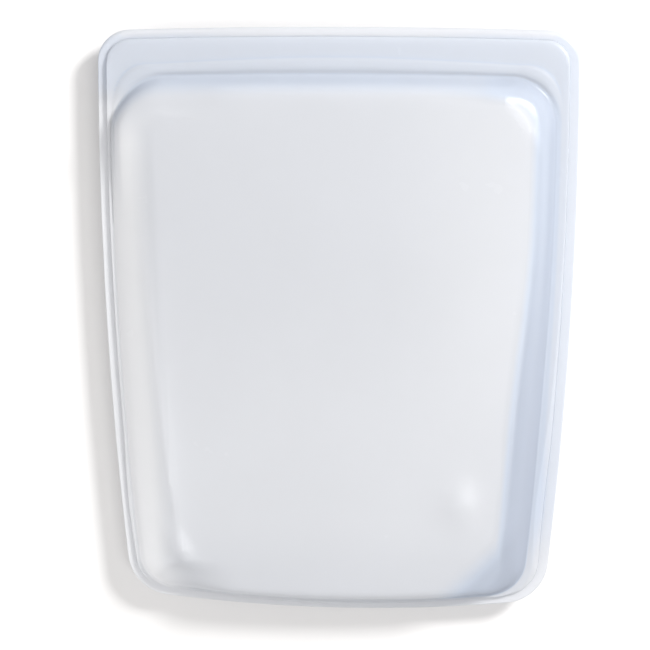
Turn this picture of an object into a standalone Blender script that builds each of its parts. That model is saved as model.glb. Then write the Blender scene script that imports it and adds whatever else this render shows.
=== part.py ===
"""Reusable silicone food bag, lying on its back with its mouth towards +Y and its front up.

The real bag is one silicone moulding in two halves, front and back, fused round three edges. Here it is cut into its
working regions. The middle of the mouth is separate from its corners, so that it can turn on the bend lines.
Heights are measured from the plane where the two halves meet; a side of +1 is the front half and -1 the back half.
"""

import math

import bmesh
import bpy
from mathutils import Vector

MM = 0.001

# Overall size, and the gaps kept between neighbouring solids and across a bend line
BAG_WIDTH = 209.5 * MM
BAG_LENGTH = 260.0 * MM
BAG_DEPTH = 25.4 * MM
GAP = 0.3 * MM
BEND_GAP = 0.7 * MM

# Outer outline: widths across the corner arcs, their radii, and the radius that each long edge is bowed to
OUTER_BOTTOM_WIDTH = 189.4 * MM
OUTER_TOP_RADIUS = 14.0 * MM
OUTER_BOTTOM_RADIUS = 20.0 * MM
OUTER_BOWS = (3.2, 1.97, 0.706)

# The pan is the hollow in each half. Its outline is where the flat rim turns into the wall
RIM_WIDTH = 7.0 * MM
PAN_TOP = 110.0 * MM
PAN_TOP_WIDTH = 195.5 * MM
PAN_BOTTOM_WIDTH = 175.6 * MM
PAN_TOP_RADIUS = 23.5 * MM
PAN_BOTTOM_RADIUS = 18.0 * MM
PAN_BOWS = (3.2, 1.90, 0.69)

# The wall rises from the rim to the flat panel: (distance in from the pan outline, height of the outer face)
WALL = 1.2 * MM
PANEL_INSET = 8.5 * MM
PANEL_HEIGHT = BAG_DEPTH / 2
RIM_FACE = 1.9 * MM
WALL_PROFILE = (
    (0.0 * MM, RIM_FACE),
    (1.0 * MM, 2.3 * MM),
    (1.9 * MM, 3.9 * MM),
    (2.9 * MM, 7.0 * MM),
    (4.3 * MM, 10.0 * MM),
    (6.2 * MM, 12.2 * MM),
    (7.3 * MM, PANEL_HEIGHT),
    (PANEL_INSET, PANEL_HEIGHT),
)

# Flat rim: two flanges with the fused seam between them. The front half stops short of the back half's edge
FLANGE_BASE = 0.6 * MM
SEAM_HALF_HEIGHT = 0.3 * MM
FRONT_MARGIN = 4.0 * MM

# Mouth: the seal band follows the pan outline, and beyond it are the grip lips and the corners. The middle of it, as
# wide as the straight part of the seal, turns on the bend line. The flat rim ends where the seal runs out
MOUTH_BEND = 98.0 * MM
MOUTH_HALF_WIDTH = 73.0 * MM
RIM_END = 103.4 * MM
LIP_BASE = 0.3 * MM
LIP_FACE = 1.7 * MM
SEAL_BAND_WIDTH = 7.2 * MM

# Sections of the seal, as (distance out from the pan outline, height). The groove is wider than the rib on both
# sides, because the rib leaves it sideways as well as down when either half of the mouth opens
SEAL_CHANNEL = (
    (0.0 * MM, 0.3 * MM),
    (1.4 * MM, 0.3 * MM),
    (1.4 * MM, 1.9 * MM),
    (5.8 * MM, 1.9 * MM),
    (5.8 * MM, 0.3 * MM),
    (SEAL_BAND_WIDTH, 0.3 * MM),
    (SEAL_BAND_WIDTH, 1.7 * MM),
    (5.8 * MM, 3.3 * MM),
    (1.2 * MM, 3.3 * MM),
    (0.0 * MM, 2.3 * MM),
)
SEAL_RIB = (
    (0.0 * MM, -0.3 * MM),
    (2.9 * MM, -0.3 * MM),
    (3.3 * MM, 1.5 * MM),
    (4.0 * MM, 1.5 * MM),
    (4.4 * MM, -0.3 * MM),
    (SEAL_BAND_WIDTH, -0.3 * MM),
    (SEAL_BAND_WIDTH, -1.7 * MM),
    (5.8 * MM, -2.6 * MM),
    (1.2 * MM, -2.6 * MM),
    (0.0 * MM, -2.0 * MM),
)

SIDES = {"front": 1, "back": -1}
HANDS = {"right": 1, "left": -1}
EDGE_STEPS, CORNER_STEPS, SIDE_STEPS = 3, 8, 6

CLEAR_SILICONE = ("clear_silicone", (0.80, 0.83, 0.87, 1.0), 0.30)
RIM_SILICONE = ("rim_silicone", (0.70, 0.76, 0.87, 1.0), 0.38)
SEAL_SILICONE = ("seal_silicone", (0.62, 0.70, 0.84, 1.0), 0.38)


class Outline:
    """The right half of an outline that is symmetric about x = 0, as five arcs that run smoothly into each other.

    They go from the middle of the top edge to the middle of the bottom edge. Each is a centre, a radius, the angles of
    its outward normal at both ends, and a number of steps. An inset makes every radius smaller, and changes no centre.
    """

    def __init__(self, top, bottom, top_corner, bottom_corner, bows):
        top_bow, side_bow, bottom_bow = bows
        (top_x, top_radius), (bottom_x, bottom_radius) = top_corner, bottom_corner
        top_centre = Vector((0, top - top_bow))
        bottom_centre = Vector((0, bottom + bottom_bow))
        upper = top_centre + Vector((top_x, math.sqrt((top_bow - top_radius) ** 2 - top_x**2)))
        lower = bottom_centre + Vector(
            (bottom_x, -math.sqrt((bottom_bow - bottom_radius) ** 2 - bottom_x**2))
        )
        side_centre = self.touching(
            upper, side_bow - top_radius, lower, side_bow - bottom_radius
        )
        turns = [math.pi / 2]
        for corner, centre in (
            (upper, top_centre),
            (upper, side_centre),
            (lower, side_centre),
            (lower, bottom_centre),
        ):
            turns.append(math.atan2(corner.y - centre.y, corner.x - centre.x))
        turns.append(-math.pi / 2)
        circles = (
            (top_centre, top_bow, EDGE_STEPS),
            (upper, top_radius, CORNER_STEPS),
            (side_centre, side_bow, SIDE_STEPS),
            (lower, bottom_radius, CORNER_STEPS),
            (bottom_centre, bottom_bow, EDGE_STEPS),
        )
        self.arcs = [
            (centre, radius, first, last, steps)
            for (centre, radius, steps), first, last in zip(circles, turns, turns[1:])
        ]

    @staticmethod
    def touching(upper, upper_reach, lower, lower_reach):
        """The point at these two distances from two corner centres, on the side of the middle of the bag."""
        apart = (lower - upper).length
        along = (lower - upper) / apart
        inward = Vector((along.y, -along.x))
        share = (upper_reach**2 - lower_reach**2 + apart**2) / (2 * apart)
        return upper + along * share + inward * math.sqrt(upper_reach**2 - share**2)

    def angle_at(self, y, inset):
        """The angle of the outward normal where the outline crosses y."""
        for centre, radius, first, last, _ in self.arcs:
            rise = (y - centre.y) / (radius - inset)
            if abs(rise) <= 1 and last <= math.asin(rise) <= first:
                return math.asin(rise)
        raise ValueError(f"the outline does not cross y = {y}")

    def right(self, inset=0.0, below=None, above=None, beyond=None):
        """Points down the right half, or down the stretch of it that lies within these limits of y and x."""
        highest = math.pi / 2 if below is None else self.angle_at(below, inset)
        if beyond is not None:
            highest = math.acos(beyond / (self.arcs[0][1] - inset))
        lowest = -math.pi / 2 if above is None else self.angle_at(above, inset)
        points = []
        for centre, radius, first, last, steps in self.arcs:
            start, end = min(first, highest), max(last, lowest)
            if start <= end:
                continue
            for step in range(1 if points else 0, steps + 1):
                angle = start + (end - start) * step / steps
                reach = radius - inset
                points.append(
                    Vector((centre.x + reach * math.cos(angle), centre.y + reach * math.sin(angle)))
                )
        return points

    def middle(self, half_width, inset=0.0):
        """Points along the top edge, from this far right of the middle to this far left."""
        centre, radius, *_ = self.arcs[0]
        reach = radius - inset
        steps = [half_width * (1 - step / EDGE_STEPS) for step in range(2 * EDGE_STEPS + 1)]
        return [Vector((x, centre.y + math.sqrt(reach**2 - x**2))) for x in steps]

    def cup(self, inset=0.0, **limits):
        """Points round the bottom, from a limit of y or x on the right to the same one on the left."""
        right = self.right(inset, **limits)
        return right + mirrored(right)[-2::-1]


def mirrored(points):
    return [Vector((-point.x, point.y)) for point in points]


OUTER = Outline(
    BAG_LENGTH / 2,
    -BAG_LENGTH / 2,
    (BAG_WIDTH / 2 - OUTER_TOP_RADIUS, OUTER_TOP_RADIUS),
    (OUTER_BOTTOM_WIDTH / 2 - OUTER_BOTTOM_RADIUS, OUTER_BOTTOM_RADIUS),
    OUTER_BOWS,
)
PAN = Outline(
    PAN_TOP,
    -BAG_LENGTH / 2 + RIM_WIDTH,
    (PAN_TOP_WIDTH / 2 - PAN_TOP_RADIUS, PAN_TOP_RADIUS),
    (PAN_BOTTOM_WIDTH / 2 - PAN_BOTTOM_RADIUS, PAN_BOTTOM_RADIUS),
    PAN_BOWS,
)


def clear_scene():
    for obj in list(bpy.data.objects):
        bpy.data.objects.remove(obj)


def material(finish):
    name, colour, roughness = finish
    found = bpy.data.materials.get(name)
    if found:
        return found
    made = bpy.data.materials.new(name)
    made.use_nodes = True
    shader = made.node_tree.nodes["Principled BSDF"]
    shader.inputs["Base Color"].default_value = colour
    shader.inputs["Roughness"].default_value = roughness
    shader.inputs["Metallic"].default_value = 0.0
    return made


def add(name, data, finish):
    """Links an object for this mesh or curve to the bag's collection."""
    data.materials.append(material(finish))
    obj = bpy.data.objects.new(name, data)
    bag = bpy.data.collections.get("silicone_bag")
    if bag is None:
        bag = bpy.data.collections.new("silicone_bag")
        bpy.context.scene.collection.children.link(bag)
    bag.objects.link(obj)
    return obj


def sheet(name, outline, faces, side, finish):
    """A flat sheet of this outline, between two heights from the mid-plane."""
    base, face = faces
    curve = bpy.data.curves.new(name, "CURVE")
    curve.dimensions = "2D"
    curve.fill_mode = "BOTH"
    curve.extrude = (face - base) / 2
    spline = curve.splines.new("POLY")
    spline.points.add(len(outline) - 1)
    for point, place in zip(spline.points, outline):
        point.co = (place.x, place.y, 0, 1)
    spline.use_cyclic_u = True
    obj = add(name, curve, finish)
    obj.location.z = BAG_DEPTH / 2 + side * (base + face) / 2
    return obj


def lofted(name, rows, closed, finish, outward=None):
    """A mesh over rows of points. Closed rows make a solid with end caps, and open ones a surface facing outward."""
    mesh = bpy.data.meshes.new(name)
    form = bmesh.new()
    loops = [[form.verts.new(point) for point in row] for row in rows]
    pairs = list(zip(loops, loops[1:] + loops[:1] if closed else loops[1:]))
    for one, other in pairs:
        for i in range(len(one) - 1):
            form.faces.new((one[i], one[i + 1], other[i + 1], other[i]))
    if closed:
        form.faces.new([loop[0] for loop in loops])
        form.faces.new([loop[-1] for loop in loops])
        bmesh.ops.recalc_face_normals(form, faces=form.faces)
    else:
        form.normal_update()
        if sum(face.normal.z * face.calc_area() for face in form.faces) * outward < 0:
            bmesh.ops.reverse_faces(form, faces=form.faces)
    form.to_mesh(mesh)
    form.free()
    mesh.shade_smooth()
    mesh.set_sharp_from_angle(angle=math.radians(40))
    return add(name, mesh, finish)


def raised(points, height, side):
    """Points of an outline in space, at a height from the mid-plane on one side of it."""
    return [(point.x, point.y, BAG_DEPTH / 2 + side * height) for point in points]


def wall(name, side, paths):
    """A wall of even thickness whose outer face runs through these (points, height) rows."""
    rows = [raised(points, height, side) for points, height in paths]
    obj = lofted(name, rows, False, CLEAR_SILICONE, outward=side)
    solidify = obj.modifiers.new("thickness", "SOLIDIFY")
    solidify.thickness = WALL
    solidify.offset = -1
    solidify.use_even_offset = True
    return obj


def side_wall(half, side):
    """The wall up both sides and round the bottom and the top corners, as far as the middle of the mouth."""
    reach = MOUTH_HALF_WIDTH + BEND_GAP / 2
    insets = [(inset + GAP, height) for inset, height in WALL_PROFILE[:-1]] + [WALL_PROFILE[-1]]
    return wall(
        f"{half}_side_wall", side, [(PAN.cup(inset, beyond=reach), height) for inset, height in insets]
    )


def throat_wall(half, side):
    """The wall under the middle of the mouth, with the strip of panel between it and the bend line."""
    reach = MOUTH_HALF_WIDTH - BEND_GAP / 2
    paths = [(PAN.middle(reach, inset + GAP), height) for inset, height in WALL_PROFILE]
    hem = [Vector((point.x, MOUTH_BEND + BEND_GAP / 2)) for point in PAN.middle(reach)]
    return wall(f"{half}_throat_wall", side, paths + [(hem, PANEL_HEIGHT)])


def panel(half, side):
    reach = MOUTH_HALF_WIDTH + BEND_GAP / 2
    hem = MOUTH_BEND - BEND_GAP / 2
    outline = PAN.cup(PANEL_INSET + GAP, beyond=reach) + [Vector((-reach, hem)), Vector((reach, hem))]
    return sheet(f"{half}_panel", outline, (PANEL_HEIGHT - WALL, PANEL_HEIGHT), side, CLEAR_SILICONE)


def edge_flange(half, side, margin):
    """The flat rim round three edges, whose outer edge is a margin in from the bag's."""
    cut = RIM_END - GAP / 2
    outline = OUTER.cup(margin, below=cut) + PAN.cup(below=cut)[::-1]
    return sheet(f"{half}_edge_flange", outline, (FLANGE_BASE, RIM_FACE), side, RIM_SILICONE)


def edge_seam():
    """The fused seam between the two flanges."""
    cut = RIM_END - GAP / 2
    seam_edge = 0.5 * MM
    outline = OUTER.cup(FRONT_MARGIN + seam_edge, below=cut) + PAN.cup(-seam_edge, below=cut)[::-1]
    return sheet("edge_seam", outline, (-SEAM_HALF_HEIGHT, SEAM_HALF_HEIGHT), 1, RIM_SILICONE)


def seal_middle(name, section):
    """The straight part of the seal, with this section, which opens with the mouth."""
    reach = MOUTH_HALF_WIDTH - BEND_GAP / 2
    rows = [raised(PAN.middle(reach, -offset), height, 1) for offset, height in section]
    return lofted(name, rows, True, SEAL_SILICONE)


def seal_end(name, section, sign):
    """The end of the seal on one side, which curves down to the flange and stays shut."""
    limits = {"beyond": MOUTH_HALF_WIDTH + BEND_GAP / 2, "above": RIM_END + GAP / 2}
    rows = []
    for offset, height in section:
        points = PAN.right(-offset, **limits)
        rows.append(raised(points if sign > 0 else mirrored(points), height, 1))
    return lofted(name, rows, True, SEAL_SILICONE)


def grip_lip(half, side, margin):
    """The free strip above the seal that the fingers pull on."""
    reach = MOUTH_HALF_WIDTH - BEND_GAP / 2
    outline = OUTER.middle(reach, margin) + PAN.middle(reach, -SEAL_BAND_WIDTH - GAP)[::-1]
    return sheet(f"{half}_grip_lip", outline, (LIP_BASE, LIP_FACE), side, RIM_SILICONE)


def mouth_corner(half, side, hand, sign, margin):
    """The rounded corner outside the end of the seal."""
    limits = {"beyond": MOUTH_HALF_WIDTH + BEND_GAP / 2, "above": RIM_END + GAP / 2}
    outline = OUTER.right(margin, **limits) + PAN.right(-SEAL_BAND_WIDTH - GAP, **limits)[::-1]
    outline = outline if sign > 0 else mirrored(outline)[::-1]
    return sheet(f"{half}_{hand}_corner", outline, (LIP_BASE, LIP_FACE), side, RIM_SILICONE)


def build():
    clear_scene()
    for half, side in SIDES.items():
        margin = FRONT_MARGIN if half == "front" else 0.0
        part, section = ("channel", SEAL_CHANNEL) if half == "front" else ("rib", SEAL_RIB)
        panel(half, side)
        side_wall(half, side)
        edge_flange(half, side, margin)
        throat_wall(half, side)
        grip_lip(half, side, margin)
        seal_middle(f"{half}_seal_{part}", section)
        for hand, sign in HANDS.items():
            mouth_corner(half, side, hand, sign, margin)
            seal_end(f"{half}_{hand}_{part}_end", section, sign)
    edge_seam()


build()
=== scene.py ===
"""Looks of the silicone food bag: two moulded skins, front and back, that meet at a flat rim.

Plan positions are in metres in the row frame. Heights are measured from the plane where the two skins
meet, and a side of +1 is the front skin and -1 the back one. The outlines repeat the ones in part.py.
"""

import math

import bmesh
import bpy
import numpy as np
from mathutils import Matrix, Vector, noise


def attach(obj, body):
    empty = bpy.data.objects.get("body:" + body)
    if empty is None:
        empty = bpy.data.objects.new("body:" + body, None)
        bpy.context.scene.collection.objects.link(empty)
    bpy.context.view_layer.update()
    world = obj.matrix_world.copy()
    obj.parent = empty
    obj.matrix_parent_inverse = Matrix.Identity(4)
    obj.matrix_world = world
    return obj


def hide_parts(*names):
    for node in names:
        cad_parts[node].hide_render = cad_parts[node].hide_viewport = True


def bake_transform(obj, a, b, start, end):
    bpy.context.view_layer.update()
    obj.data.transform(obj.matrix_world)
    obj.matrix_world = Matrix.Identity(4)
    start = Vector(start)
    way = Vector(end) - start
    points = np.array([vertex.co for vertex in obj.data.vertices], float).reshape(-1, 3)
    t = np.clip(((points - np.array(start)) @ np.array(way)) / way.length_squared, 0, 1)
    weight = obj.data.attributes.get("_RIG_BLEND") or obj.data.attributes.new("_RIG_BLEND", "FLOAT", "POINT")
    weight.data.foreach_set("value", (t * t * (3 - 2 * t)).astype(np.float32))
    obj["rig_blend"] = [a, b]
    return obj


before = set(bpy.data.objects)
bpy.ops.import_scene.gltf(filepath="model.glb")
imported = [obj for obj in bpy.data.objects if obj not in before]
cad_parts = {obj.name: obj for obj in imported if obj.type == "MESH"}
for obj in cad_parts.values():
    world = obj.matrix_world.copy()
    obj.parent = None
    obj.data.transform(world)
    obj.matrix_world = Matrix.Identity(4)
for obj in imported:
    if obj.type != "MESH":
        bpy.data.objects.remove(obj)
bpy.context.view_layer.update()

MM = 0.001

# The bag's size. The skins meet at MID above the floor, and their panels lie as far from it again
BAG_LENGTH, BAG_WIDTH, MID = 260 * MM, 209.5 * MM, 12.7 * MM
PAN_TOP, RIM_WIDTH, FRONT_MARGIN = 110 * MM, 7 * MM, 4 * MM
SKIN, RIM_FACE, LINING = 1.2 * MM, 1.9 * MM, 0.2 * MM

# Where the skins are cut into pieces
SHELL_CUT, LIP_FOOT = 87 * MM, 113 * MM
MOUTH_REACH, LIP_MIDDLE = 73 * MM, 30 * MM

# How far up the bag the mouth and the lips start to bend, and the length of each bend
MOUTH_START, MOUTH_RUN = 89 * MM, 12 * MM
LIP_START, LIP_RUN = 115.5 * MM, 4 * MM

# Mesh steps: round each arc of an outline, across the rim, and from the panel's edge to its middle
AROUND = (20, 18, 60, 16, 20)
RIM_LOOPS = 20
PANEL_STEPS, LINING_STEPS = 46, 12


def smooth(value, low, high):
    """0 below low, 1 above high, and an S curve between them. Low may be above high."""
    share = np.clip((value - low) / (high - low), 0, 1)
    return share * share * (3 - 2 * share)


class Outline:
    """The right half of an outline: five arcs that run smoothly into each other, from top to bottom."""

    def __init__(self, top, bottom, top_corner, bottom_corner, bows):
        top_bow, side_bow, bottom_bow = bows
        (top_x, top_radius), (bottom_x, bottom_radius) = top_corner, bottom_corner
        top_centre = Vector((0, top - top_bow))
        bottom_centre = Vector((0, bottom + bottom_bow))
        upper = top_centre + Vector((top_x, math.sqrt((top_bow - top_radius) ** 2 - top_x**2)))
        lower = bottom_centre + Vector(
            (bottom_x, -math.sqrt((bottom_bow - bottom_radius) ** 2 - bottom_x**2))
        )
        apart = (lower - upper).length
        along = (lower - upper) / apart
        reach = side_bow - top_radius
        share = (reach**2 - (side_bow - bottom_radius) ** 2 + apart**2) / (2 * apart)
        side_centre = (
            upper + along * share + Vector((along.y, -along.x)) * math.sqrt(reach**2 - share**2)
        )
        turns = [math.pi / 2]
        for corner, centre in (
            (upper, top_centre),
            (upper, side_centre),
            (lower, side_centre),
            (lower, bottom_centre),
        ):
            turns.append(math.atan2(corner.y - centre.y, corner.x - centre.x))
        turns.append(-math.pi / 2)
        circles = (
            (top_centre, top_bow),
            (upper, top_radius),
            (side_centre, side_bow),
            (lower, bottom_radius),
            (bottom_centre, bottom_bow),
        )
        self.arcs = [
            (centre, radius, first, last)
            for (centre, radius), first, last in zip(circles, turns, turns[1:])
        ]

    def loop(self, inset=0.0):
        """Points all the way round, clockwise from the middle of the top."""
        right = []
        for (centre, radius, first, last), steps in zip(self.arcs, AROUND):
            for step in range(1 if right else 0, steps + 1):
                angle = first + (last - first) * step / steps
                reach = radius - inset
                right.append((centre.x + reach * math.cos(angle), centre.y + reach * math.sin(angle)))
        left = [(-x, y) for x, y in right[-2:0:-1]]
        return np.array(right + left)


OUTER = Outline(
    BAG_LENGTH / 2,
    -BAG_LENGTH / 2,
    (BAG_WIDTH / 2 - 14 * MM, 14 * MM),
    (74.7 * MM, 20 * MM),
    (3.2, 1.97, 0.706),
)
PAN = Outline(
    PAN_TOP,
    -BAG_LENGTH / 2 + RIM_WIDTH,
    (74.25 * MM, 23.5 * MM),
    (69.8 * MM, 18 * MM),
    (3.2, 1.90, 0.69),
)

# Section of the wall and the panel's edge, in millimetres: (distance in from the pan outline, height)
WALL = np.array(
    [
        (0.0, 1.9),
        (0.7, 2.05),
        (1.3, 2.6),
        (1.9, 3.9),
        (2.4, 5.4),
        (2.9, 7.0),
        (3.5, 8.5),
        (4.3, 10.0),
        (5.2, 11.2),
        (6.2, 12.0),
        (7.4, 12.45),
        (9.0, 12.65),
        (11.0, 12.7),
        (13.5, 12.7),
    ]
)

# Sections of the rim over the mouth, in millimetres: (distance out from the pan outline, height).
# They are its outside, the inside of the front one and the inside of the back one
SEAL_FACE = np.array(
    [(0, 1.9), (0.8, 2.1), (1.6, 2.5), (3.5, 2.7), (5.6, 2.5), (6.6, 2.1), (7.4, 1.8), (8.5, 1.7)]
)
CHANNEL = np.array([(1.2, 0.2), (1.5, 1.7), (5.6, 1.7), (5.9, 0.2)])
RIB = np.array([(2.6, -0.2), (3.2, 1.3), (4.1, 1.3), (4.7, -0.2)])
# Distances out of the rim loops over the mouth, so that edges follow the seal
SEAL_LOOPS = np.array([0, 0.5, 1.2, 1.5, 2.6, 3.2, 4.1, 4.7, 5.6, 5.9, 6.6, 7.2, 8.0]) * MM

# The rim thins towards its edge, and then rounds over
TAPER_WIDTH, TAPER = 2.6 * MM, 0.6 * MM
ROUND_WIDTH, ROUND_FACE = 0.7 * MM, 0.7 * MM

# The line down the middle of the panel, from y to y, that its loops shrink to
SPINE = (-68 * MM, 58 * MM)


def between(table, at):
    """Height from a section table in millimetres, at these distances in metres."""
    return np.interp(at / MM, table[:, 0], table[:, 1]) * MM


def mouthness(points):
    """1 where the rim is the mouth's lip and seal, and 0 where it is the flange."""
    return smooth(points[:, 1], 88 * MM, 106 * MM)


def rim_offsets(width, mouth, count):
    """Distances out of the rim loops: even over the flange, and by the seal over the mouth."""
    last, known = SEAL_LOOPS[-1], len(SEAL_LOOPS)
    rows = []
    for i in range(count):
        even = width * i / (count - 1)
        if i < known:
            over = np.full_like(width, SEAL_LOOPS[i])
        else:
            over = last + (width - last) * (i - known + 1) / (count - known)
        rows.append(even + (np.minimum(over, width * i / (i + 0.3)) - even) * mouth if i else even)
    return rows


def spine(loop):
    """For each point of a loop, the point on the middle line that it shrinks towards."""
    low, high = SPINE
    top, bottom = loop[:, 1].max(), loop[:, 1].min()
    share = (loop[:, 1] - bottom) / (top - bottom)
    return np.column_stack([np.zeros(len(loop)), low + (high - low) * share])


def face(side, margin, outside):
    """Rows of points from the rim's edge to the middle of the panel, for one face of one skin.

    Each point is x, y, height and the distance in from the pan outline. On the rim that is below 0, and
    it is measured along the lines that join the two outlines, which run aslant beside the corners.
    """
    pan, edge = PAN.loop(), OUTER.loop(margin)
    out = edge - pan
    width = np.linalg.norm(out, axis=1)
    out = out / width[:, None]
    mouth = mouthness(pan)
    rows = []
    for offset in reversed(rim_offsets(width, mouth, RIM_LOOPS)):
        plan = pan + out * offset[:, None]
        if outside:
            height = RIM_FACE + (between(SEAL_FACE, offset) - RIM_FACE) * mouth
            height = height - smooth(offset, width - TAPER_WIDTH, width) * TAPER
            roll = np.clip((offset - (width - ROUND_WIDTH)) / ROUND_WIDTH, 0, 1)
            height = height - (height - ROUND_FACE) * (1 - np.sqrt(1 - roll * roll * 0.98))
        else:
            lining = between(CHANNEL, offset) if side > 0 else -between(RIB, offset)
            height = LINING + (lining - LINING) * mouth
        rows.append(np.column_stack([plan, height, -offset]))
    if outside:
        section = WALL[1:]
    else:
        tangent = np.gradient(WALL, axis=0)
        tangent /= np.linalg.norm(tangent, axis=1)[:, None]
        section = WALL + np.column_stack([tangent[:, 1], -tangent[:, 0]]) * SKIN / MM
        section = section[1:]
    for inset, height in section * MM:
        plan = PAN.loop(inset)
        rows.append(np.column_stack([plan, np.full(len(plan), height), np.full(len(plan), inset)]))
    last = rows[-1]
    middle = spine(last)
    steps = PANEL_STEPS if outside else LINING_STEPS
    for step in range(1, steps + 1):
        share = step / steps
        plan = last[:, :2] + (middle - last[:, :2]) * share
        inset = last[:, 3] + np.linalg.norm(middle - last[:, :2], axis=1) * share
        rows.append(np.column_stack([plan, np.full(len(plan), last[0, 2]), inset]))
    return rows


# How the skins have settled. The pan has slid on the rim to the left, and at the bottom downwards too
SLIDE_LEFT, SLIDE_DOWN = 1.6 * MM, 3.0 * MM
# How far the top of the front wall has moved: in, low down on the right; to the left; and down the bag
LEAN, SHIFT, DROOP = 3.6 * MM, 1.2 * MM, 1.8 * MM
# The panel's dome: its height, and its half widths across and up the bag
DOME, DOME_REACH = 1.2 * MM, (92 * MM, 112 * MM)
# On the left the wall gives way to a slope this high and wide
SLACK, SLOPE_RISE, SLOPE_RUN = 0.97, 10.8 * MM, 22 * MM
# Two corners are flattened past a line across each: its direction, distance from the middle, and slope
LOW_CORNER, LOW_START, LOW_FALL = math.radians(-44), 118 * MM, 0.36
HIGH_CORNER, HIGH_START, HIGH_FALL = math.radians(39), 120 * MM, 0.32
# The long fold on the left: (x, y, height) up its line, and how far it reaches to the left and the right
FOLD = np.array([(-85, 80, 0), (-82, 50, 0.3), (-78, -5, 1.4), (-74.5, -40, 2.4), (-71, -68, 2.2)])
FOLD = np.vstack([FOLD, [(-67, -92, 0.7), (-66, -100, 0)]]) * MM
FOLD_REACH = (7 * MM, 4 * MM)
# Small swellings: height, middle, half widths and angle
PUCKER = (2.0 * MM, (-67 * MM, -96 * MM), (4 * MM, 8 * MM), math.radians(38))
SWELL = (1.4 * MM, (58 * MM, -76 * MM), (9 * MM, 9 * MM), 0.0)
# Slow waves all over: their height, and how many there are to the metre across and up the bag
WAVE, WAVE_SCALE = 0.3 * MM, (16, 11)


def ridge(x, y, line, reach):
    """The height of a fold, which is sharpest along its line."""
    order = np.argsort(line[:, 1])
    at = np.interp(y, line[order, 1], line[order, 0])
    height = np.interp(y, line[order, 1], line[order, 2])
    across = x - at
    return height * np.exp(-np.abs(across) / np.where(across < 0, *reach))


def hump(x, y, height, centre, size, angle):
    """The height of a round swelling."""
    c, s = math.cos(angle), math.sin(angle)
    dx, dy = x - centre[0], y - centre[1]
    u, v = (dx * c + dy * s) / size[0], (dy * c - dx * s) / size[1]
    return height * np.exp(-(u * u + v * v))


def slide(x, y, inset):
    """Where the points are once the pan has slid. The mouth and the back rim's edge stay where they are.

    The front rim's edge is nearer to the pan, so it moves up to half as far as the pan.
    """
    held = smooth(inset, -6 * MM, 0) * smooth(y, 106 * MM, 84 * MM)
    return x - SLIDE_LEFT * held, y - SLIDE_DOWN * held * smooth(y, -30 * MM, -100 * MM)


def beyond(x, y, angle, start):
    """How far a point is past a straight line across a corner, which faces this angle at this distance."""
    return x * math.cos(angle) + y * math.sin(angle) - start


def settle_front(points, below):
    """The front skin as it has settled: domed, slack to the left, and leaning in at the lower right.

    The points lie this far below the skin's outer face.
    """
    x, y, height, inset = points.T
    lift = np.clip(height / MID, 0, 1)
    right = smooth(x, 35 * MM, 80 * MM)
    left = smooth(-x, 40 * MM, 70 * MM)

    fade = smooth(inset, 60 * MM, 8 * MM)
    lean = LEAN * smooth(y, 45 * MM, -45 * MM)
    droop = DROOP * fade * smooth(np.abs(y), 60 * MM, 110 * MM)
    moved_x, moved_y = slide(x - lift * fade * (lean * right + SHIFT), y - lift * droop, inset)

    across, up = DOME_REACH
    dome = DOME * np.clip(1 - (x / across) ** 2, 0, 1) * np.clip(1 - ((y + 7 * MM) / up) ** 2, 0, 1)
    along = np.clip(inset / SLOPE_RUN, 0, 1)
    slope = RIM_FACE + SLOPE_RISE / 2 * (along + np.sin(along * math.pi / 2)) - below
    give = SLACK * left * (1 - 0.65 * smooth(y, 50 * MM, 95 * MM))
    slack = give * np.where(inset > 0, np.minimum(slope - height, 0), 0)
    low = np.clip(beyond(x, y, LOW_CORNER, LOW_START), 0, 20 * MM)
    high = np.clip(beyond(x, y, HIGH_CORNER, HIGH_START), 0, 12 * MM)
    facets = -LOW_FALL * low * smooth(low, 0, 9 * MM) - HIGH_FALL * high * smooth(high, 0, 3 * MM)
    across, up = WAVE_SCALE
    waves = np.array([WAVE * noise.noise(Vector((px * across, py * up, 3.1))) for px, py in zip(x, y)])
    folds = ridge(x, y, FOLD, FOLD_REACH) + hump(x, y, *PUCKER) + hump(x, y, *SWELL)
    rise = (dome + facets + folds + waves) * lift**2
    return np.column_stack([moved_x, moved_y, height + slack + rise])


def settle_back(points, _below):
    """The back skin slides with the front one, and otherwise lies flat."""
    x, y, height, inset = points.T
    return np.column_stack([*slide(x, y, inset), height])


# Points this close are one point, edges this short are dropped, and points this near a cut are on it
MERGE, SLIVER, ON_CUT = 0.02 * MM, 0.001 * MM, 0.01 * MM


def skin_mesh(side, margin):
    """One closed skin: its outer face, its inner face and the rim's edge between them."""
    form = bmesh.new()
    inset = form.verts.layers.float.new("inset")
    settle = settle_front if side > 0 else settle_back
    edges = []
    for outside in (True, False):
        rows = []
        for row in face(side, margin, outside):
            settled = settle(row, 0.0 if outside else SKIN)
            rows.append([form.verts.new((x, y, MID + side * h)) for x, y, h in settled])
            for vert, distance in zip(rows[-1], row[:, 3]):
                vert[inset] = distance
        for one, other in zip(rows, rows[1:]):
            for i in range(len(one)):
                j = (i + 1) % len(one)
                quad = (one[i], one[j], other[j], other[i])
                form.faces.new(quad if outside else quad[::-1])
        edges.append(rows[0])
    for i in range(len(edges[0])):
        j = (i + 1) % len(edges[0])
        form.faces.new((edges[0][j], edges[0][i], edges[1][i], edges[1][j]))
    bmesh.ops.remove_doubles(form, verts=form.verts, dist=MERGE)
    bmesh.ops.dissolve_degenerate(form, dist=SLIVER, edges=form.edges)
    bmesh.ops.recalc_face_normals(form, faces=form.faces)
    return form


def cut(form, point, normal):
    """New edges where a plane crosses the mesh."""
    bmesh.ops.bisect_plane(
        form,
        geom=form.verts[:] + form.edges[:] + form.faces[:],
        plane_co=point,
        plane_no=normal,
        dist=ON_CUT,
    )


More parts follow.
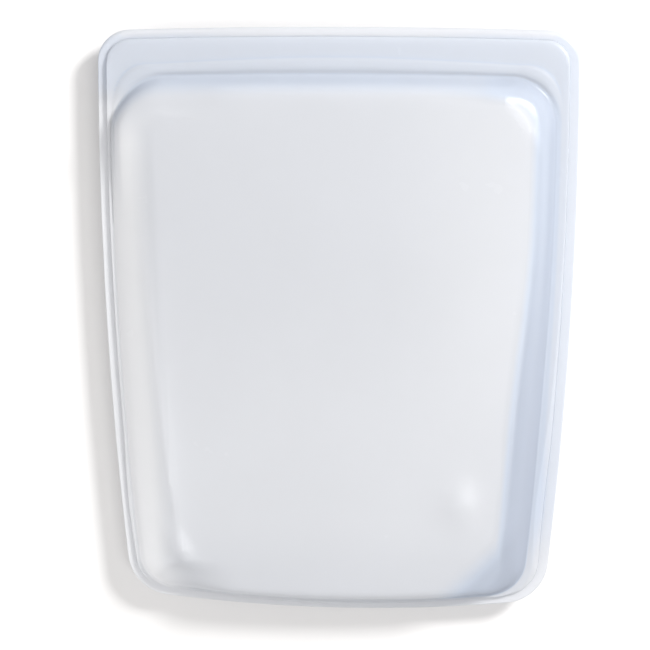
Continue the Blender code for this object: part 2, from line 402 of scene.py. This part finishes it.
def zone_of(centre):
    """The name of the piece that a face belongs to."""
    x, y = centre.x, centre.y
    if y < SHELL_CUT:
        return "body"
    if x > MOUTH_REACH:
        return "right_corner"
    if x < -MOUTH_REACH:
        return "left_corner"
    if y < LIP_FOOT:
        return "mouth"
    if x > LIP_MIDDLE:
        return "lip_right"
    return "lip_left" if x < -LIP_MIDDLE else "lip_middle"


def split_skin(half, side, margin):
    """The pieces of one skin, with the shading of the whole skin kept across the lines between them."""
    form = skin_mesh(side, margin)
    cut(form, (0, SHELL_CUT, 0), (0, 1, 0))
    cut(form, (0, LIP_FOOT, 0), (0, 1, 0))
    for x in (-MOUTH_REACH, MOUTH_REACH, -LIP_MIDDLE, LIP_MIDDLE):
        cut(form, (x, 0, 0), (1, 0, 0))
    form.normal_update()
    form.verts.index_update()
    inset = form.verts.layers.float["inset"]
    zones = {}
    for polygon in form.faces:
        zones.setdefault(zone_of(polygon.calc_center_median()), []).append(polygon)
    pieces = {}
    for zone, polygons in zones.items():
        index, points, normals, insets, faces = {}, [], [], [], []
        for polygon in polygons:
            corners = []
            for vert in polygon.verts:
                if vert.index not in index:
                    index[vert.index] = len(points)
                    points.append(tuple(vert.co))
                    normals.append(tuple(vert.normal))
                    insets.append(vert[inset])
                corners.append(index[vert.index])
            faces.append(corners)
        mesh = bpy.data.meshes.new(f"{half}_skin_{zone}")
        mesh.from_pydata(points, [], faces)
        mesh.polygons.foreach_set("use_smooth", [True] * len(faces))
        # The tint goes to each point, with painted light and shade in it
        shade = mesh.attributes.new("tint_and_painted_light", "FLOAT", "POINT")
        shade.data.foreach_set("value", tint_and_painted_light_of(np.array(points), np.array(insets)))
        mesh.update()
        mesh.normals_split_custom_set_from_vertices(normals)
        obj = bpy.data.objects.new(f"{half}_skin_{zone}", mesh)
        bpy.context.scene.collection.objects.link(obj)
        pieces[zone] = obj
    form.free()
    return pieces


# Tints of the silicone, from thin to thick, with the depths of the two between. The panel has the second.
# Toward the thin end they also carry painted light, and toward the thick end painted shade
PANEL_DEPTH, BLUE_DEPTH = 0.3, 0.65
TINTS = ((0.96, 0.965, 0.975), (0.785, 0.80, 0.83), (0.70, 0.755, 0.84), (0.555, 0.60, 0.685))


def tint_and_painted_light_of(points, inset):
    """How deep the tint is, with painted light and shade in it.

    It is least on thin edges and most in the seal. The walls are deeper, partly for their thicker silicone
    and partly as painted shade. Painted light lightens the panel lower down, at its upper right and on the
    shaded slope on the left; painted shade deepens its bottom edge, the lower right corner and a line along
    the wall's foot.
    """
    x, y, _ = points.T
    mouth = smooth(y, 92 * MM, 106 * MM)
    right = smooth(x, 35 * MM, 85 * MM)
    left = smooth(-x, 62 * MM, 84 * MM)
    down = smooth(y, 70 * MM, -80 * MM)
    # Painted light and shade on the panel: lighter lower down and at the upper right, a darker band along
    # its bottom edge, and lighter on the shaded slope on the left
    panel = PANEL_DEPTH - 0.06 * smooth(y, 60 * MM, -60 * MM) + 0.06 * smooth(y, -85 * MM, -118 * MM)
    panel = panel - 0.06 * smooth(x, 20 * MM, 70 * MM) * (1 - down)
    panel = panel - 0.3 * left * smooth(inset, 22 * MM, 9 * MM) * smooth(y, 98 * MM, 78 * MM)
    # The walls are deeper and bluer on the right and along the top, and a little on the upper left: partly
    # their thicker silicone, partly painted shade
    reach = (3 + 1.6 * down) * MM * right
    sides = np.maximum(right * (0.75 + 0.25 * down), 0.3 * left * smooth(y, 40 * MM, 100 * MM))
    wall = np.maximum(sides, 0.42 * smooth(y, 60 * MM, 108 * MM))
    wall = wall * smooth(inset, 8.5 * MM + reach, 2.5 * MM + reach)
    # Painted shade on the flattened lower right corner, with the deeper tint of its sloping wall
    facet = 0.7 * smooth(beyond(x, y, LOW_CORNER, LOW_START), -4 * MM, 9 * MM)

    out = -inset
    # The rim and the line at the wall's foot go deeper toward the right and lighter toward the left and the
    # bottom: painted light and shade
    toward_right = smooth(x, -90 * MM, 60 * MM)
    toward_right = toward_right * (0.4 + 0.6 * smooth(y, -115 * MM, -80 * MM))
    # Painted shade: a dark line along the crease at the foot of the wall, over the mouth and toward the
    # right
    foot = 0.62 * np.exp(-((inset / (0.8 * MM)) ** 2)) * np.maximum(mouth, toward_right)
    # The flange has a light tint of its own; its deeper tint toward the right and next to the wall there is
    # painted shade
    flange = 0.14 + 0.28 * toward_right + 0.2 * smooth(out, 4.5 * MM, 2 * MM) * toward_right
    band = 0.46 + 0.2 * np.exp(-(((out - 7.4 * MM) / (0.5 * MM)) ** 2))
    rim = flange + (band - flange) * mouth - 0.2 * smooth(y, 125.4 * MM, 126.4 * MM)
    rim = np.maximum(rim, foot)
    inside = panel + (1 - panel) * np.maximum.reduce([wall, facet, foot])
    return np.clip(np.where(inset > 0, inside, rim), 0, 1).astype(np.float32)


def silicone(name, colours, roughness, through):
    """Milky silicone: bluer and darker where it is thick or where shade is painted, lighter where light is
    painted, with an uneven gloss and a fine grain.
    """
    made = bpy.data.materials.new(name)
    made.use_nodes = True
    tree = made.node_tree
    shader = tree.nodes["Principled BSDF"]

    def node(kind, **values):
        new = tree.nodes.new(kind)
        for key, value in values.items():
            setattr(new, key, value)
        return new

    # The tint attribute picks the colour, and with it the painted light and shade
    tint_and_painted_light = node("ShaderNodeAttribute", attribute_name="tint_and_painted_light")
    ramp = node("ShaderNodeValToRGB")
    ramp.color_ramp.elements.new(PANEL_DEPTH)
    ramp.color_ramp.elements.new(BLUE_DEPTH)
    for element, colour in zip(ramp.color_ramp.elements, colours):
        element.color = (*colour, 1)
    tree.links.new(tint_and_painted_light.outputs["Fac"], ramp.inputs["Fac"])

    place = node("ShaderNodeTexCoord")
    cloud = node("ShaderNodeTexNoise")
    cloud.inputs["Scale"].default_value = 14
    cloud.inputs["Detail"].default_value = 3
    tree.links.new(place.outputs["Object"], cloud.inputs["Vector"])
    tone = node("ShaderNodeMapRange")
    tone.inputs["To Min"].default_value = 0.975
    tone.inputs["To Max"].default_value = 1.025
    tree.links.new(cloud.outputs["Fac"], tone.inputs["Value"])
    tinted = node("ShaderNodeMix", data_type="RGBA", blend_type="MULTIPLY")
    tinted.inputs["Factor"].default_value = 1
    tree.links.new(ramp.outputs["Color"], tinted.inputs["A"])
    tree.links.new(tone.outputs["Result"], tinted.inputs["B"])
    tree.links.new(tinted.outputs["Result"], shader.inputs["Base Color"])

    bloom = node("ShaderNodeTexNoise")
    bloom.inputs["Scale"].default_value = 60
    bloom.inputs["Detail"].default_value = 4
    tree.links.new(place.outputs["Object"], bloom.inputs["Vector"])
    rough = node("ShaderNodeMapRange")
    rough.inputs["To Min"].default_value = roughness - 0.05
    rough.inputs["To Max"].default_value = roughness + 0.08
    tree.links.new(bloom.outputs["Fac"], rough.inputs["Value"])
    tree.links.new(rough.outputs["Result"], shader.inputs["Roughness"])

    grain = node("ShaderNodeTexNoise")
    grain.inputs["Scale"].default_value = 900
    tree.links.new(place.outputs["Object"], grain.inputs["Vector"])
    bump = node("ShaderNodeBump")
    bump.inputs["Strength"].default_value = 0.06
    bump.inputs["Distance"].default_value = 0.0002
    tree.links.new(grain.outputs["Fac"], bump.inputs["Height"])
    tree.links.new(bump.outputs["Normal"], shader.inputs["Normal"])

    shader.inputs["IOR"].default_value = 1.41
    glow = node("ShaderNodeBsdfTranslucent")
    tree.links.new(tinted.outputs["Result"], glow.inputs["Color"])
    mixed = node("ShaderNodeMixShader")
    mixed.inputs["Fac"].default_value = through
    tree.links.new(shader.outputs["BSDF"], mixed.inputs[1])
    tree.links.new(glow.outputs["BSDF"], mixed.inputs[2])
    tree.links.new(mixed.outputs["Shader"], tree.nodes["Material Output"].inputs["Surface"])
    return made


SKIN_MATERIAL = silicone("milky_silicone", TINTS, 0.23, 0.44)

# The CAD nodes that each piece stands for
REPLACED = {
    "body": ("panel", "side_wall", "edge_flange"),
    "mouth": ("throat_wall", "seal_{part}"),
    "right_corner": ("right_corner", "right_{part}_end"),
    "left_corner": ("left_corner", "left_{part}_end"),
    "lip_middle": ("grip_lip",),
    "lip_right": (),
    "lip_left": (),
}


def ramp_vector(start, length, fall):
    """Start and end of a blend that runs up the bag from a point and falls off sideways by this slope."""
    x, y = start
    scale = length / (1 + fall * fall)
    return (x, y, MID), (x - fall * scale, y + scale, MID)


# The lines of bending fall off sideways over the corners, so that nothing moves at the rim
CORNER_FALL = (112 * MM - MOUTH_START) / (104 * MM - MOUTH_REACH)
LIP_FALL = (129 * MM - LIP_START) / (MOUTH_REACH - LIP_MIDDLE)

for half, side, margin, part in (("front", 1, FRONT_MARGIN, "channel"), ("back", -1, 0.0, "rib")):
    pieces = split_skin(half, side, margin)
    mouth, lip = f"{half}_mouth", f"{half}_lip"
    for zone, piece in pieces.items():
        piece.data.materials.append(SKIN_MATERIAL)
        nodes = [f"{half}_{node.format(part=part)}" for node in REPLACED[zone]]
        if nodes:
            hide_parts(*nodes)
        if zone == "body":
            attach(piece, "pouch")
        elif zone == "mouth":
            start, end = ramp_vector((0, MOUTH_START), MOUTH_RUN, 0)
            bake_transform(piece, "pouch", mouth, start=start, end=end)
        elif zone.endswith("corner"):
            hand = 1 if zone.startswith("right") else -1
            start, end = ramp_vector((hand * MOUTH_REACH, MOUTH_START), MOUTH_RUN, hand * CORNER_FALL)
            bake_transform(piece, "pouch", mouth, start=start, end=end)
        else:
            hand = {"lip_right": 1, "lip_left": -1}.get(zone, 0)
            start, end = ramp_vector((hand * LIP_MIDDLE, LIP_START), LIP_RUN, hand * LIP_FALL)
            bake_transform(piece, mouth, lip, start=start, end=end)
    if half == "front":
        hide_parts("front_panel", "front_side_wall", "front_edge_flange", "edge_seam")


def build_stage():
    bpy.ops.mesh.primitive_plane_add(size=6, location=(0, 0, 0))
    floor = bpy.context.object
    floor.name = "studio_floor"
    paper = bpy.data.materials.new("white_paper")
    paper.use_nodes = True
    shader = paper.node_tree.nodes["Principled BSDF"]
    shader.inputs["Base Color"].default_value = (0.85, 0.843, 0.838, 1)
    shader.inputs["Roughness"].default_value = 0.9
    shader.inputs["Specular IOR Level"].default_value = 0.1
    floor.data.materials.append(paper)

    world = bpy.data.worlds.new("studio")
    bpy.context.scene.world = world
    world.use_nodes = True
    background = world.node_tree.nodes["Background"]
    background.inputs["Color"].default_value = (1.0, 0.985, 0.98, 1)
    background.inputs["Strength"].default_value = 0.57

    key = bpy.data.lights.new("key", "AREA")
    key.shape = "DISK"
    key.size = 0.4
    key.energy = 26.2
    key.color = (1.0, 0.995, 0.99)
    hang("key", key, Vector((1.05, 0.92, 1)), 1.6)

    window = bpy.data.lights.new("softbox", "AREA")
    window.shape = "RECTANGLE"
    window.size, window.size_y = 0.16, 0.6
    window.energy = 2.8
    hang("softbox", window, Vector((0.36, -0.2, 1)), 1.2)

    bounce = bpy.data.lights.new("bounce", "AREA")
    bounce.size = 1.0
    bounce.energy = 10
    hang("bounce", bounce, Vector((-1.0, -0.6, 0.3)), 1.5)


def hang(name, light, towards, distance):
    """A light that shines on the bag from this direction and distance."""
    lamp = bpy.data.objects.new(name, light)
    towards = towards.normalized()
    lamp.location = towards * distance
    lamp.rotation_mode = "QUATERNION"
    lamp.rotation_quaternion = towards.to_track_quat("Z", "Y")
    bpy.context.scene.collection.objects.link(lamp)


def build_camera():
    camera = bpy.data.cameras.new("camera")
    camera.lens = 120
    camera.sensor_width = 36
    holder = bpy.data.objects.new("camera", camera)
    bpy.context.scene.collection.objects.link(holder)
    bpy.context.scene.camera = holder
    lean_x, lean_y = math.radians(5), math.radians(9.3)
    back = Vector((math.sin(lean_x), math.sin(lean_y), 1)).normalized()
    aim = Vector((-5.0 * MM, -0.9 * MM, MID))
    distance = 287.4 * MM / (camera.sensor_width / camera.lens)
    holder.location = aim + back * distance
    holder.rotation_mode = "QUATERNION"
    across = Vector((0, 1, 0)).cross(back).normalized()
    holder.rotation_quaternion = Matrix((across, back.cross(across), back)).transposed().to_quaternion()


build_stage()
build_camera()
bpy.context.scene.view_settings.view_transform = "Standard"
